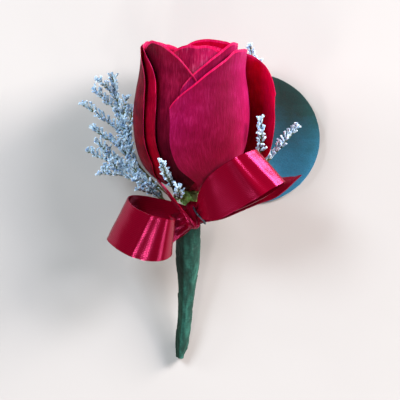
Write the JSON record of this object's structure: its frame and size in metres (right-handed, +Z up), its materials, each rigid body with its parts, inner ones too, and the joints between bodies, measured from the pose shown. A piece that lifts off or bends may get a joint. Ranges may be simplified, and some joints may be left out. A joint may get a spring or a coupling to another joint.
{
  "type": "boutonniere",
  "caption": "Half-open red rose with a round eucalyptus leaf, sea lavender and a satin ribbon bow on a taped stem, lying on its back.",
  "frame": {"origin": "middle of the footprint, on the table it lies on", "axes": "+X across the flower, to the viewer's right; +Y from the cut end of the stem to the bloom; +Z up from the table, to the side worn outwards"},
  "size_m": [0.0776, 0.1024, 0.0421],
  "materials": {
    "petal_red": "soft velvety petal",
    "rose_green": "fresh green stem",
    "tape_green": "waxed crepe paper tape",
    "leaf_blue_green": "waxy bloom, satin",
    "papery_lilac": "dry and papery",
    "satin_red": "satin weave, glossy",
    "coated_wire": "thin lacquer coat"
  },
  "bodies": {
    "root": {"bow_wire": "coated_wire", "eucalyptus_leaf": "leaf_blue_green", "floral_tape": "tape_green", "ribbon_bow": "satin_red", "rose_petals": "petal_red", "rose_stem_and_calyx": "rose_green", "sea_lavender_front_left": "papery_lilac", "sea_lavender_lower_left": "papery_lilac", "sea_lavender_middle_left": "papery_lilac", "sea_lavender_right": "papery_lilac", "sea_lavender_top_right": "papery_lilac", "sea_lavender_upper_left": "papery_lilac"}
  },
  "joints": []
}
